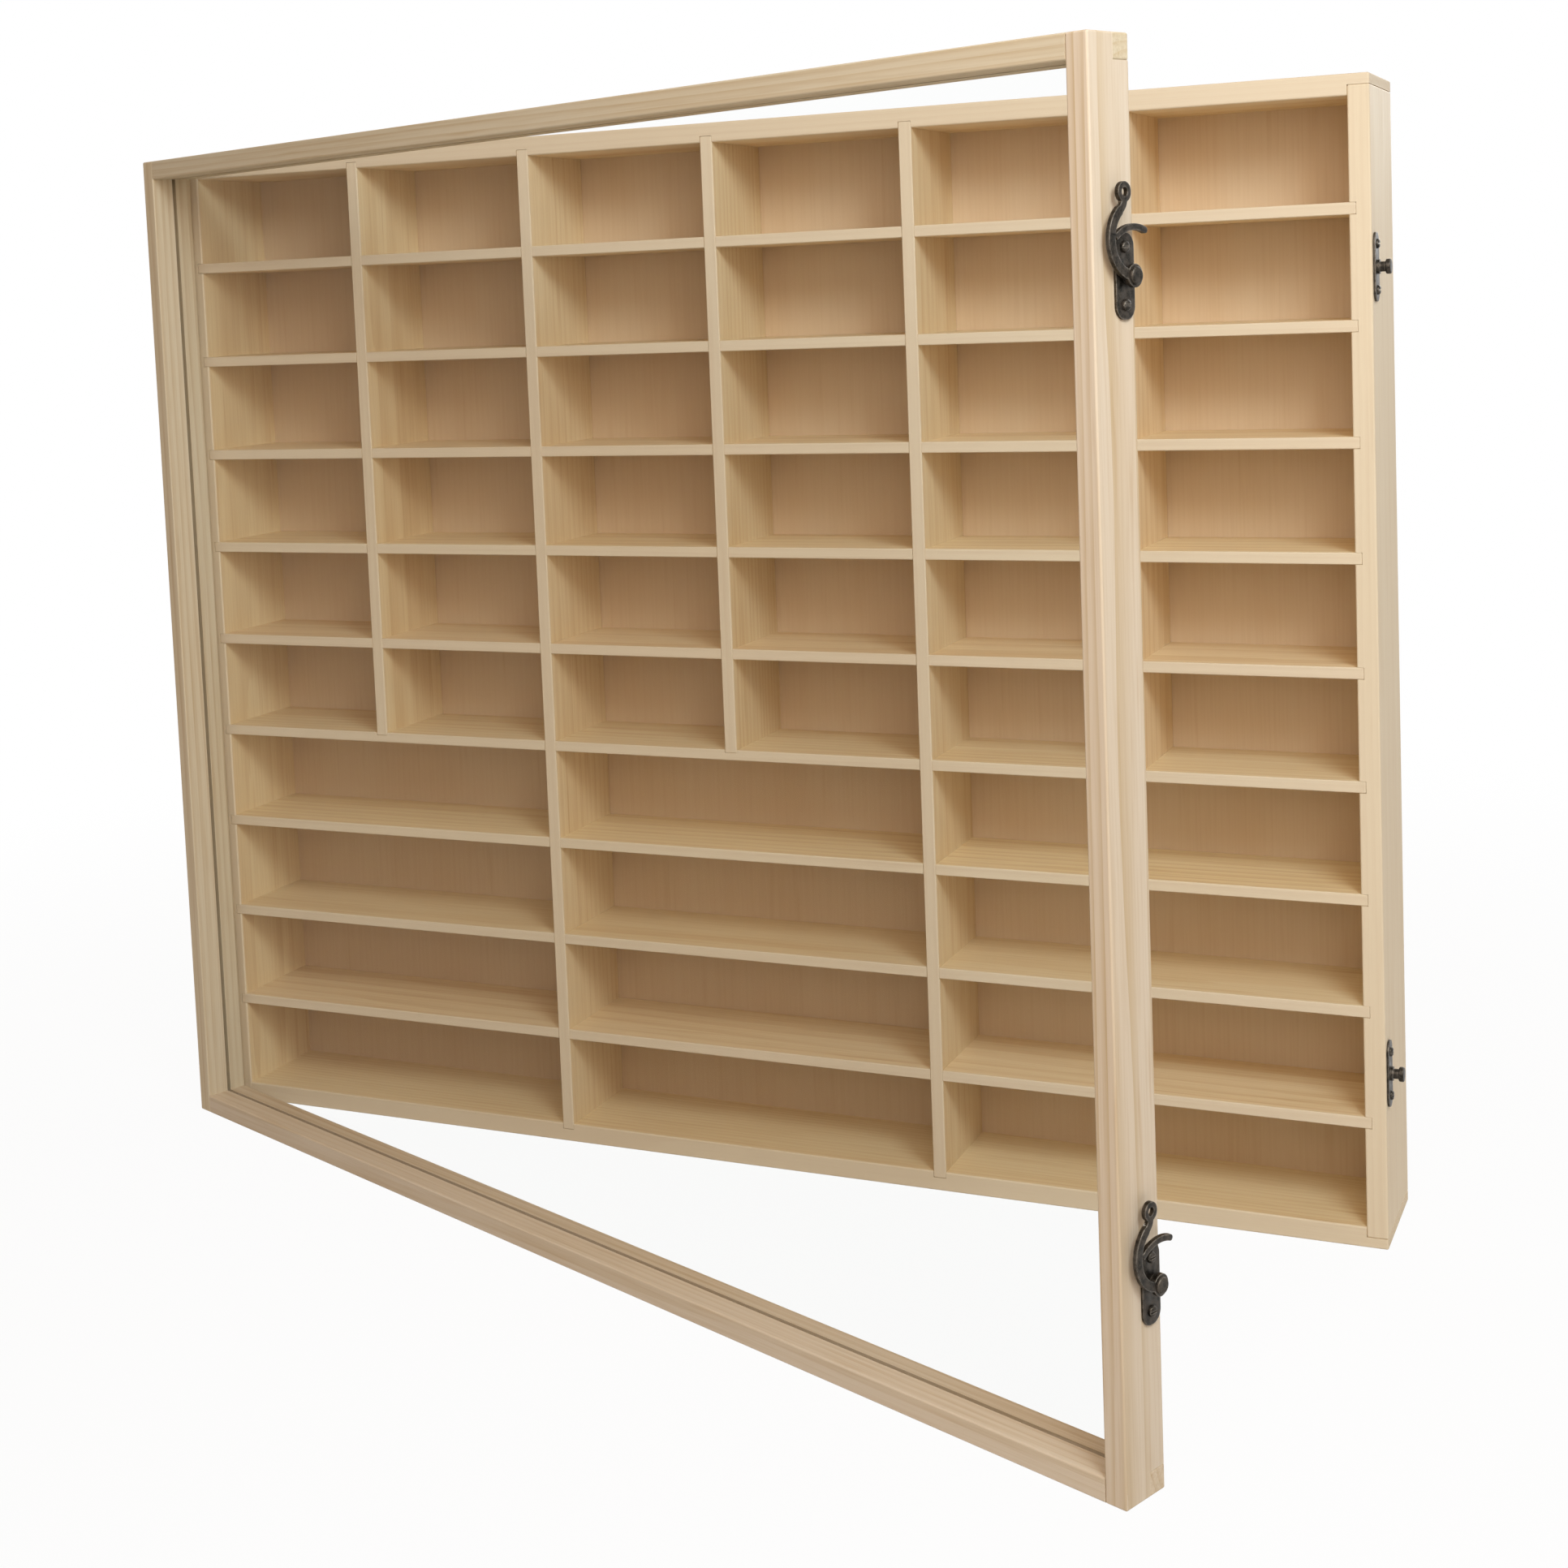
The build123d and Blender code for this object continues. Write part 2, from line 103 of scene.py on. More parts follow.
class Grain(Enum):
    """Which way a board's grain runs, as the turn that brings it to the X axis."""

    LEVEL = "level"
    UPRIGHT = "upright"
    DOOR_LEVEL = "door level"
    DOOR_UPRIGHT = "door upright"

    def turn(self) -> Matrix:
        """The rotation from the row frame to the grain frame.

        Returns:
            A 3x3 rotation whose X axis is the length of the board.
        """
        stand = Matrix.Rotation(math.pi / 2, 3, "Y")
        door = Matrix.Rotation(DOOR_TURN, 3, "Z")
        turns = {
            Grain.LEVEL: Matrix.Identity(3),
            Grain.UPRIGHT: stand,
            Grain.DOOR_LEVEL: door,
            Grain.DOOR_UPRIGHT: stand @ door,
        }
        return turns[self]


class WhiteRay(Enum):
    """The rays that see plain white surroundings instead of the lit ones, by their Light Path output."""

    CAMERA = "Is Camera Ray"
    GLOSSY = "Is Glossy Ray"
    TRANSMISSION = "Is Transmission Ray"


@dataclass(frozen=True)
class Ramp:
    """A smooth step from one range of values to another."""

    low: float
    high: float
    out_low: float = 0.0
    out_high: float = 1.0


@dataclass(frozen=True)
class Speckle:
    """A noise: its scale per metre, its octaves and how strong the small ones are."""

    scale: float
    detail: float
    roughness: float


@dataclass(frozen=True)
class Rounding:
    """How far the sharp edges of a metal piece are rounded, in metres, and in how many steps."""

    radius: float
    steps: int


@dataclass
class NodeSheet:
    """Adds nodes and links to one shader tree."""

    tree: bpy.types.NodeTree

    @classmethod
    def cleared(cls, owner: bpy.types.Material | bpy.types.World) -> "NodeSheet":
        """Empty the node tree of a material or world.

        Args:
            owner: The material or world.

        Returns:
            The sheet of its empty tree.
        """
        owner.use_nodes = True
        owner.node_tree.nodes.clear()
        return cls(owner.node_tree)

    def feed(self, socket: bpy.types.NodeSocket, value: Any) -> None:
        """Link a socket's value in, or write a plain value on it.

        Args:
            socket: The input to set.
            value: An output socket, or a number, colour or vector.
        """
        if isinstance(value, bpy.types.NodeSocket):
            self.tree.links.new(value, socket)
        else:
            socket.default_value = value

    def add(self, kind: str, feeds: Mapping[str, Any] | None = None, **settings: Any) -> bpy.types.Node:
        """Add a node.

        Args:
            kind: The node's type name.
            feeds: Values and output sockets by input name.
            settings: Properties of the node itself.

        Returns:
            The new node.
        """
        node = self.tree.nodes.new(kind)
        for name, value in settings.items():
            setattr(node, name, value)
        for name, value in (feeds or {}).items():
            self.feed(node.inputs[name], value)
        return node

    def maths(self, operation: str, *values: Any, clamp: bool = False) -> bpy.types.NodeSocket:
        """Add a Math node.

        Args:
            operation: What it works out.
            values: Its numbers or sockets in order.
            clamp: Whether its result stays from 0 to 1.

        Returns:
            The result's socket.
        """
        node = self.add("ShaderNodeMath", operation=operation, use_clamp=clamp)
        for socket, value in zip(node.inputs, values):
            self.feed(socket, value)
        return node.outputs[0]

    def vector(self, operation: str, *values: Any) -> bpy.types.Node:
        """Add a Vector Math node.

        Args:
            operation: What it works out.
            values: Its vectors or sockets in order.

        Returns:
            The node, with a Vector and a Value output.
        """
        node = self.add("ShaderNodeVectorMath", operation=operation)
        for socket, value in zip(node.inputs, values):
            self.feed(socket, value)
        return node

    def mix(self, factor: Any, first: Any, second: Any, how: str = "MIX") -> bpy.types.NodeSocket:
        """Mix two colours.

        Args:
            factor: How much of the second colour shows.
            first: The colour at a factor of 0.
            second: The colour at a factor of 1.
            how: The blend type.

        Returns:
            The mixed colour's socket.
        """
        node = self.add("ShaderNodeMix", data_type="RGBA", blend_type=how)
        # A Mix node repeats its socket names for each data type: these are the ones for colours.
        for index, value in ((0, factor), (6, first), (7, second)):
            self.feed(node.inputs[index], value)
        return node.outputs[2]

    def mix_shaders(self, factor: Any, first: bpy.types.Node, second: bpy.types.Node) -> bpy.types.NodeSocket:
        """Mix two shaders.

        Args:
            factor: How much of the second shader shows.
            first: The shader node at a factor of 0.
            second: The shader node at a factor of 1.

        Returns:
            The mixed shader's socket.
        """
        node = self.add("ShaderNodeMixShader", {"Fac": factor})
        self.feed(node.inputs[1], first.outputs[0])
        self.feed(node.inputs[2], second.outputs[0])
        return node.outputs[0]

    def spread(self, value: Any, ramp: Ramp) -> bpy.types.NodeSocket:
        """Map a value smoothly from one range to another.

        Args:
            value: The value or socket to map.
            ramp: The two ranges.

        Returns:
            The mapped value's socket.
        """
        node = self.add("ShaderNodeMapRange", {"Value": value, "From Min": ramp.low, "From Max": ramp.high,
                                               "To Min": ramp.out_low, "To Max": ramp.out_high},
                        interpolation_type="SMOOTHSTEP")
        return node.outputs[0]

    def noise(self, place: Any, speckle: Speckle) -> bpy.types.Node:
        """Add a noise texture.

        Args:
            place: The coordinates.
            speckle: How fine and how rough it is.

        Returns:
            The texture node.
        """
        return self.add("ShaderNodeTexNoise", {"Vector": place, "Scale": speckle.scale,
                                               "Detail": speckle.detail, "Roughness": speckle.roughness})

    def bump(self, height: Any, distance: float) -> bpy.types.NodeSocket:
        """Add a Bump node.

        Args:
            height: The height's socket.
            distance: How far a height of 1 stands out, in metres.

        Returns:
            The normal's socket.
        """
        node = self.add("ShaderNodeBump", {"Height": height, "Distance": distance, "Strength": BUMP_STRENGTH})
        return node.outputs["Normal"]


@dataclass
class SharedEffect:
    """A node group that every finish of its kind uses."""

    name: str
    takes: Mapping[str, str]
    gives: Mapping[str, str]
    group: bpy.types.NodeTree = field(init=False)
    sheet: NodeSheet = field(init=False)
    source: bpy.types.Node = field(init=False)
    result: bpy.types.Node = field(init=False)

    def __post_init__(self) -> None:
        """Make the empty group with its sockets."""
        self.group = bpy.data.node_groups.new(self.name, "ShaderNodeTree")
        for name, kind in self.takes.items():
            self.group.interface.new_socket(name, in_out="INPUT", socket_type=kind)
        for name, kind in self.gives.items():
            self.group.interface.new_socket(name, in_out="OUTPUT", socket_type=kind)
        self.sheet = NodeSheet(self.group)
        self.source = self.sheet.add("NodeGroupInput")
        self.result = self.sheet.add("NodeGroupOutput")

    def give(self, **values: bpy.types.NodeSocket) -> None:
        """Link the group's results, by socket name."""
        for name, value in values.items():
            self.sheet.feed(self.result.inputs[name], value)

    def use(self, sheet: NodeSheet, feeds: Mapping[str, Any]) -> bpy.types.Node:
        """Place the group in a material.

        Args:
            sheet: The material's node sheet.
            feeds: What its inputs take.

        Returns:
            The group's node.
        """
        return sheet.add("ShaderNodeGroup", feeds, node_tree=self.group)


@dataclass(frozen=True)
class EdgeWearAndHighlight:
    """The arrises of a piece, where hands and cloths rub it, and where the bronze gets a painted highlight.
    """

    samples: int = 4
    bend: Ramp = Ramp(0.006, 0.14)

    def effect(self) -> SharedEffect:
        """Draw the shared group.

        Returns:
            An effect that gives a mask, 1 on sharp outer edges.
        """
        effect = SharedEffect("edge_wear_and_highlight", {"Radius": FLOAT}, {"Mask": FLOAT})
        sheet = effect.sheet
        soft = sheet.add("ShaderNodeBevel", {"Radius": effect.source.outputs["Radius"]}, samples=self.samples)
        facing = sheet.add("ShaderNodeNewGeometry")
        agree = sheet.vector("DOT_PRODUCT", soft.outputs["Normal"], facing.outputs["Normal"])
        bend = sheet.maths("SUBTRACT", 1.0, agree.outputs["Value"], clamp=True)
        effect.give(Mask=sheet.spread(bend, self.bend))
        return effect


@dataclass(frozen=True)
class PineFigure:
    """Growth rings, fibres, streaks and end grain of pine, with the grain along X.

    A stretch is the share of the distance along the grain that a pattern sees, so a small one draws it out.
    """

    ring_stretch: float = 0.045
    ring_scale: float = 96.0
    ring_distortion: float = 0.9
    ring_detail: float = 2.0
    ring_detail_scale: float = 1.4
    ring_detail_roughness: float = 0.5
    ring_patches: Ramp = Ramp(0.25, 0.7, 0.45, 1.1)
    ring_height: float = 0.3
    late_wood: Ramp = Ramp(0.35, 1.0)
    wander: Speckle = Speckle(9.0, 1.5, 0.4)
    wander_reach: float = 0.026
    ripple: Speckle = Speckle(75.0, 1.0, 0.5)
    ripple_reach: float = 0.004
    fibre: Speckle = Speckle(900.0, 3.0, 0.6)
    fibre_stretch: float = 0.02
    fibre_share: Ramp = Ramp(0.42, 0.72, 0.0, 0.5)
    fibre_tint: Colour = (0.86, 0.80, 0.71, 1.0)
    fibre_height: float = 0.6
    streak: Speckle = Speckle(260.0, 2.0, 0.55)
    streak_stretch: float = 0.05
    streak_share: Ramp = Ramp(0.6, 0.78, 0.0, 0.55)
    streak_tint: Colour = (0.84, 0.74, 0.60, 1.0)
    cloud: Speckle = Speckle(24.0, 2.0, 0.5)
    cloud_stretch: float = 0.22
    cloud_share: Ramp = Ramp(0.35, 0.75, 0.0, 0.55)
    cloud_tint: Colour = (0.96, 0.90, 0.82, 1.0)
    end_grain: Ramp = Ramp(0.55, 0.9)
    end_ring_share: float = 0.5
    end_ring_tint: Colour = (0.94, 0.89, 0.81, 1.0)
    end_roughness: float = 0.15
    pores: Speckle = Speckle(1500.0, 2.0, 0.6)
    pore_share: Ramp = Ramp(0.35, 0.65)
    pore_tint: Colour = (0.93, 0.90, 0.85, 1.0)
    cut_tint: Colour = (1.0, 0.99, 0.97, 1.0)
    roughness: Ramp = Ramp(0.3, 0.7, 0.5, 0.68)

    def drawn_out(self, sheet: NodeSheet, place: Any, stretch: float) -> bpy.types.NodeSocket:
        """Squeeze coordinates along the grain, so that a pattern on them grows long there.

        Args:
            sheet: The group's node sheet.
            place: The coordinates.
            stretch: The share of the distance along the grain that is kept.

        Returns:
            The new coordinates' socket.
        """
        return sheet.vector("MULTIPLY", place, (stretch, 1.0, 1.0)).outputs["Vector"]

    def swayed(self, sheet: NodeSheet, place: Any, noise: bpy.types.Node,
               reach: float) -> bpy.types.NodeSocket:
        """Push coordinates across the grain by a noise.

        Args:
            sheet: The group's node sheet.
            place: The coordinates.
            noise: The noise's node.
            reach: How far it pushes, in metres.

        Returns:
            The new coordinates' socket.
        """
        push = sheet.vector("SUBTRACT", noise.outputs["Color"], NOISE_MIDDLE).outputs["Vector"]
        return sheet.vector("MULTIPLY_ADD", push, (0.0, reach, reach), place).outputs["Vector"]

    def rings(self, sheet: NodeSheet, place: Any) -> bpy.types.NodeSocket:
        """Draw the growth rings about the pith.

        Args:
            sheet: The group's node sheet.
            place: The board's coordinates.

        Returns:
            A mask's socket, 1 in the dark late wood.
        """
        long_place = self.drawn_out(sheet, place, self.ring_stretch)
        bent = self.swayed(sheet, long_place, sheet.noise(long_place, self.wander), self.wander_reach)
        bent = self.swayed(sheet, bent, sheet.noise(long_place, self.ripple), self.ripple_reach)
        rings = sheet.add("ShaderNodeTexWave", {"Vector": bent, "Scale": self.ring_scale,
                                                "Distortion": self.ring_distortion,
                                                "Detail": self.ring_detail,
                                                "Detail Scale": self.ring_detail_scale,
                                                "Detail Roughness": self.ring_detail_roughness},
                          wave_type="RINGS", rings_direction="X", wave_profile="SAW")
        return sheet.spread(rings.outputs["Fac"], self.late_wood)

    def cut_ends(self, sheet: NodeSheet, place: Any, late: Any) -> bpy.types.NodeSocket:
        """Draw what the saw leaves across the grain.

        Args:
            sheet: The group's node sheet.
            place: The board's coordinates.
            late: The mask of the late wood.

        Returns:
            The socket of a tint for the end grain.
        """
        pores = sheet.noise(place, self.pores)
        cut = sheet.mix(sheet.spread(pores.outputs["Fac"], self.pore_share), self.pore_tint, self.cut_tint)
        return sheet.mix(sheet.maths("MULTIPLY", late, self.end_ring_share), cut, self.end_ring_tint)

    def effect(self) -> SharedEffect:
        """Draw the shared group.

        Returns:
            An effect that gives the wood's colour, roughness and height.
        """
        effect = SharedEffect(
            "pine_figure",
            {"Vector": VECTOR, "Normal": VECTOR, "Pale": COLOUR, "Amber": COLOUR, "Ring Strength": FLOAT,
             "Streak Strength": FLOAT},
            {"Color": COLOUR, "Roughness": FLOAT, "Height": FLOAT},
        )
        sheet, gets = effect.sheet, effect.source.outputs
        place, streaky = gets["Vector"], gets["Streak Strength"]
        late = self.rings(sheet, place)
        fibre = sheet.noise(self.drawn_out(sheet, place, self.fibre_stretch), self.fibre).outputs["Fac"]
        streak = sheet.noise(self.drawn_out(sheet, place, self.streak_stretch), self.streak).outputs["Fac"]
        cloud = sheet.noise(self.drawn_out(sheet, place, self.cloud_stretch), self.cloud).outputs["Fac"]

        strength = sheet.maths("MULTIPLY", late, gets["Ring Strength"])
        patchy = sheet.maths("MULTIPLY", strength, sheet.spread(cloud, self.ring_patches))
        colour = sheet.mix(patchy, gets["Pale"], gets["Amber"])
        threads = sheet.maths("MULTIPLY", sheet.spread(fibre, self.fibre_share), streaky)
        streaks = sheet.maths("MULTIPLY", sheet.spread(streak, self.streak_share), streaky)
        colour = sheet.mix(threads, colour, self.fibre_tint, "MULTIPLY")
        colour = sheet.mix(streaks, colour, self.streak_tint, "MULTIPLY")
        colour = sheet.mix(sheet.spread(cloud, self.cloud_share), colour, self.cloud_tint, "MULTIPLY")

        along = sheet.add("ShaderNodeSeparateXYZ", {"Vector": gets["Normal"]})
        end = sheet.spread(sheet.maths("ABSOLUTE", along.outputs["X"]), self.end_grain)
        cut = sheet.mix(1.0, colour, self.cut_ends(sheet, place, late), "MULTIPLY")
        rough = sheet.maths("ADD", sheet.spread(fibre, self.roughness),
                            sheet.maths("MULTIPLY", end, self.end_roughness))
        height = sheet.maths("MULTIPLY_ADD", fibre, self.fibre_height,
                             sheet.maths("MULTIPLY", late, self.ring_height))
        effect.give(Color=sheet.mix(end, colour, cut), Roughness=rough, Height=height)
        return effect


@dataclass(frozen=True)
class Patina:
    """The mottled skin of darkened metal."""

    cloud: Speckle = Speckle(420.0, 4.0, 0.6)
    cloud_share: float = 0.65
    grit: Speckle = Speckle(2600.0, 2.0, 0.5)
    grit_share: float = 0.35
    grit_height: float = 0.3
    mottle: Ramp = Ramp(0.36, 0.62)

    def effect(self) -> SharedEffect:
        """Draw the shared group.

        Returns:
            An effect that gives a mottle from 0 to 1 and a height.
        """
        effect = SharedEffect("patina", {"Vector": VECTOR}, {"Mottle": FLOAT, "Height": FLOAT})
        sheet, place = effect.sheet, effect.source.outputs["Vector"]
        cloud = sheet.noise(place, self.cloud).outputs["Fac"]
        grit = sheet.noise(place, self.grit).outputs["Fac"]
        mottle = sheet.maths("MULTIPLY_ADD", grit, self.grit_share,
                             sheet.maths("MULTIPLY", cloud, self.cloud_share))
        effect.give(Mottle=sheet.spread(mottle, self.mottle),
                    Height=sheet.maths("MULTIPLY_ADD", grit, self.grit_height, cloud))
        return effect


@dataclass(frozen=True)
class Effects:
    """The node groups that the finishes share."""

    edge_wear_and_highlight: SharedEffect
    pine_figure: SharedEffect
    patina: SharedEffect

    @classmethod
    def make(cls) -> "Effects":
        """Draw every shared group once."""
        return cls(EdgeWearAndHighlight().effect(), PineFigure().effect(), Patina().effect())


@dataclass(frozen=True)
class Blank:
    """A new material: a Principled shader on its output, and the piece's coordinates."""

    material: bpy.types.Material
    sheet: NodeSheet
    shader: bpy.types.Node
    output: bpy.types.Node
    where: bpy.types.Node

    @classmethod
    def start(cls, name: str) -> "Blank":
        """Make the blank.

        Args:
            name: The material's name.

        Returns:
            The blank, ready for a finish.
        """
        material = bpy.data.materials.new(name)
        sheet = NodeSheet.cleared(material)
        shader = sheet.add("ShaderNodeBsdfPrincipled")
        output = sheet.add("ShaderNodeOutputMaterial", {"Surface": shader.outputs[0]})
        return cls(material, sheet, shader, output, sheet.add("ShaderNodeTexCoord"))

    def set(self, name: str, value: Any) -> None:
        """Set or link one input of the shader."""
        self.sheet.feed(self.shader.inputs[name], value)


@dataclass(frozen=True)
class WoodFinish:
    """Bare softwood with the grain along each board, and painted light that makes the case's outer faces
    paler.
    """

    name: str
    pale: Colour
    amber: Colour
    ring_strength: float
    streak_strength: float = 1.0
    tone_spread: float = 0.05
    blush_spread: float = 0.018
    # The paler colour painted on the case's outer faces, and its share: painted light where the lamps fall.
    painted_light_tint: Colour = (0.76, 0.67, 0.53, 1.0)
    painted_light_share: float = 0.0
    edge_radius: float = 0.0009
    edge_lift: float = 0.35
    edge_gain: float = 1.12
    edge_roughness: float = -0.12
    relief: float = 0.00012
    sheen_level: float = 0.32

    def board_tone(self, luck: random.Random) -> Colour:
        """Draw the pale colour of one board.

        Args:
            luck: The board's random draws.

        Returns:
            The colour of its early wood.
        """
        tone = 1.0 + luck.uniform(-self.tone_spread, self.tone_spread)
        blush = luck.uniform(-self.blush_spread, self.blush_spread)
        red, green, blue = (part * tone for part in self.pale[:3])
        return (red, green * (1.0 - blush), blue * (1.0 + blush), 1.0)

    def pith_shift(self, luck: random.Random) -> Vector:
        """Draw where the tree's pith lay beside one board.

        Args:
            luck: The board's random draws.

        Returns:
            The shift from the row's origin to the pith, in metres.
        """
        angle, reach = luck.uniform(0.0, math.tau), luck.uniform(*PITH_REACH)
        along = luck.uniform(-GRAIN_SHIFT, GRAIN_SHIFT)
        return Vector((along, reach * math.cos(angle), reach * math.sin(angle)))

    def painted_light_mask(self, blank: Blank) -> bpy.types.NodeSocket:
        """Mask the case's front edges, outer sides and top, which are painted paler as painted light.

        Args:
            blank: The material.

        Returns:
            The mask's socket, the share of painted light on those faces.
        """
        sheet, share = blank.sheet, self.painted_light_share
        spot = sheet.add("ShaderNodeSeparateXYZ", {"Vector": blank.where.outputs["Object"]}).outputs
        front = sheet.spread(spot["Y"], Ramp(FRONT_PLANE, FRONT_PLANE + PAINTED_LIGHT_DEPTH, share, 0.0))
        reach = sheet.maths("ABSOLUTE", spot["X"])
        flank = sheet.spread(reach, Ramp(SIDE_PLANE - PAINTED_LIGHT_DEPTH, SIDE_PLANE, 0.0, share))
        crown = sheet.spread(spot["Z"], Ramp(TOP_PLANE - PAINTED_LIGHT_DEPTH, TOP_PLANE, 0.0, share))
        return sheet.maths("MAXIMUM", front, sheet.maths("MAXIMUM", flank, crown))

    def material(self, board: str, grain: Grain, effects: Effects) -> bpy.types.Material:
        """The finish of one board, with rings and tone of its own.

        Args:
            board: The board's node name, which also seeds its figure.
            grain: Which way the grain runs.
            effects: The shared node groups.

        Returns:
            The material.
        """
        luck = random.Random(f"{self.name} {board}")
        pale = self.board_tone(luck)
        shift = self.pith_shift(luck)
        rings = self.ring_strength * luck.uniform(*RING_VARIETY)

        blank = Blank.start(f"{self.name}_{board}")
        sheet, where = blank.sheet, blank.where.outputs
        turn = grain.turn().to_euler("XYZ")
        place = sheet.add("ShaderNodeMapping", {"Vector": where["Object"], "Rotation": turn,
                                                "Location": shift}, vector_type="POINT")
        facing = sheet.add("ShaderNodeMapping", {"Vector": where["Normal"], "Rotation": turn},
                           vector_type="VECTOR")
        figure = effects.pine_figure.use(sheet, {"Vector": place.outputs[0], "Normal": facing.outputs[0],
                                                 "Pale": pale, "Amber": self.amber, "Ring Strength": rings,
                                                 "Streak Strength": self.streak_strength}).outputs
        rubbed = effects.edge_wear_and_highlight.use(sheet, {"Radius": self.edge_radius}).outputs["Mask"]
        bright = tuple(min(1.0, part * self.edge_gain) for part in pale[:3]) + (1.0,)
        colour = sheet.mix(sheet.maths("MULTIPLY", rubbed, self.edge_lift), figure["Color"], bright)
        # Painted light: the outer faces, which face the lamps, are painted paler.
        if self.painted_light_share > 0.0:
            colour = sheet.mix(self.painted_light_mask(blank), colour, self.painted_light_tint)
        blank.set("Base Color", colour)
        smooth = sheet.maths("MULTIPLY", rubbed, self.edge_roughness)
        blank.set("Roughness", sheet.maths("ADD", figure["Roughness"], smooth))
        blank.set("Normal", sheet.bump(figure["Height"], self.relief))
        blank.set("Specular IOR Level", self.sheen_level)
        return blank.material


@dataclass(frozen=True)
class BronzeFinish:
    """Antique bronze: mottled from nearly black to brown, rubbed lighter on the edges, where the lighter
    colour is also a painted highlight.
    """

    name: str
    dark: Colour = (0.018, 0.016, 0.012, 1.0)
    brown: Colour = (0.078, 0.064, 0.051, 1.0)
    # The edge colour: rubbed wear, and also a painted highlight on the edges.
    rubbed: Colour = (0.34, 0.30, 0.25, 1.0)
    wear_and_highlight: Ramp = Ramp(0.0, 1.0, 0.28, 0.8)
    edge_radius: float = 0.0008
    roughness: Ramp = Ramp(0.0, 1.0, 0.34, 0.5)
    relief: float = 0.00008
    metallic: float = 0.9

    def material(self, effects: Effects) -> bpy.types.Material:
        """The finish as a material.

        Args:
            effects: The shared node groups.

        Returns:
            The material.
        """
        blank = Blank.start(self.name)
        sheet = blank.sheet
        skin = effects.patina.use(sheet, {"Vector": blank.where.outputs["Object"]}).outputs
        edges = effects.edge_wear_and_highlight.use(sheet, {"Radius": self.edge_radius}).outputs["Mask"]
        body = sheet.mix(skin["Mottle"], self.dark, self.brown)
        # Real rubbed wear and a painted highlight on the edges, broken up by the mottle.
        worn_and_highlit = sheet.maths("MULTIPLY", edges, sheet.spread(skin["Mottle"], self.wear_and_highlight))
        blank.set("Base Color", sheet.mix(worn_and_highlit, body, self.rubbed))
        blank.set("Roughness", sheet.spread(skin["Mottle"], self.roughness))
        blank.set("Normal", sheet.bump(skin["Height"], self.relief))
        blank.set("Metallic", self.metallic)
        return blank.material


@dataclass(frozen=True)
class NailFinish:
    """Bright drawn steel with a little tarnish."""

    name: str
    bright: Colour = (0.60, 0.59, 0.57, 1.0)
    tarnish: Colour = (0.34, 0.32, 0.29, 1.0)
    roughness: Ramp = Ramp(0.0, 1.0, 0.28, 0.45)
    metallic: float = 1.0

    def material(self, effects: Effects) -> bpy.types.Material:
        """The finish as a material.

        Args:
            effects: The shared node groups.

        Returns:
            The material.
        """
        blank = Blank.start(self.name)
        sheet = blank.sheet
        mottle = effects.patina.use(sheet, {"Vector": blank.where.outputs["Object"]}).outputs["Mottle"]
        blank.set("Base Color", sheet.mix(mottle, self.bright, self.tarnish))
        blank.set("Roughness", sheet.spread(mottle, self.roughness))
        blank.set("Metallic", self.metallic)
        return blank.material


@dataclass(frozen=True)
class ClearPanelFinish:
    """Clear acrylic sheet that lets the lamps through and has faint wiping marks."""

    name: str
    tint: Colour = (0.978, 0.983, 0.98, 1.0)
    light_passed: Colour = (0.93, 0.93, 0.92, 1.0)
    ior: float = 1.09
    wipe_stretch: Place = (1.0, 1.0, 0.12)
    wipe: Speckle = Speckle(26.0, 3.0, 0.55)
    roughness: Ramp = Ramp(0.45, 0.75, 0.0, 0.05)

    def material(self) -> bpy.types.Material:
        """The finish as a material.

        Returns:
            The material.
        """
        blank = Blank.start(self.name)
        sheet = blank.sheet
        wiped = sheet.add("ShaderNodeMapping", {"Vector": blank.where.outputs["Object"],
                                                "Scale": self.wipe_stretch})
        marks = sheet.noise(wiped.outputs[0], self.wipe)
        blank.set("Roughness", sheet.spread(marks.outputs["Fac"], self.roughness))
        blank.set("Base Color", self.tint)
        blank.set("Transmission Weight", 1.0)
        blank.set("IOR", self.ior)
        rays = sheet.add("ShaderNodeLightPath").outputs
        through = sheet.add("ShaderNodeBsdfTransparent", {"Color": self.light_passed})
        lighting = sheet.maths("MAXIMUM", rays["Is Shadow Ray"], rays["Is Diffuse Ray"])
        sheet.feed(blank.output.inputs["Surface"], sheet.mix_shaders(lighting, blank.shader, through))
        return blank.material


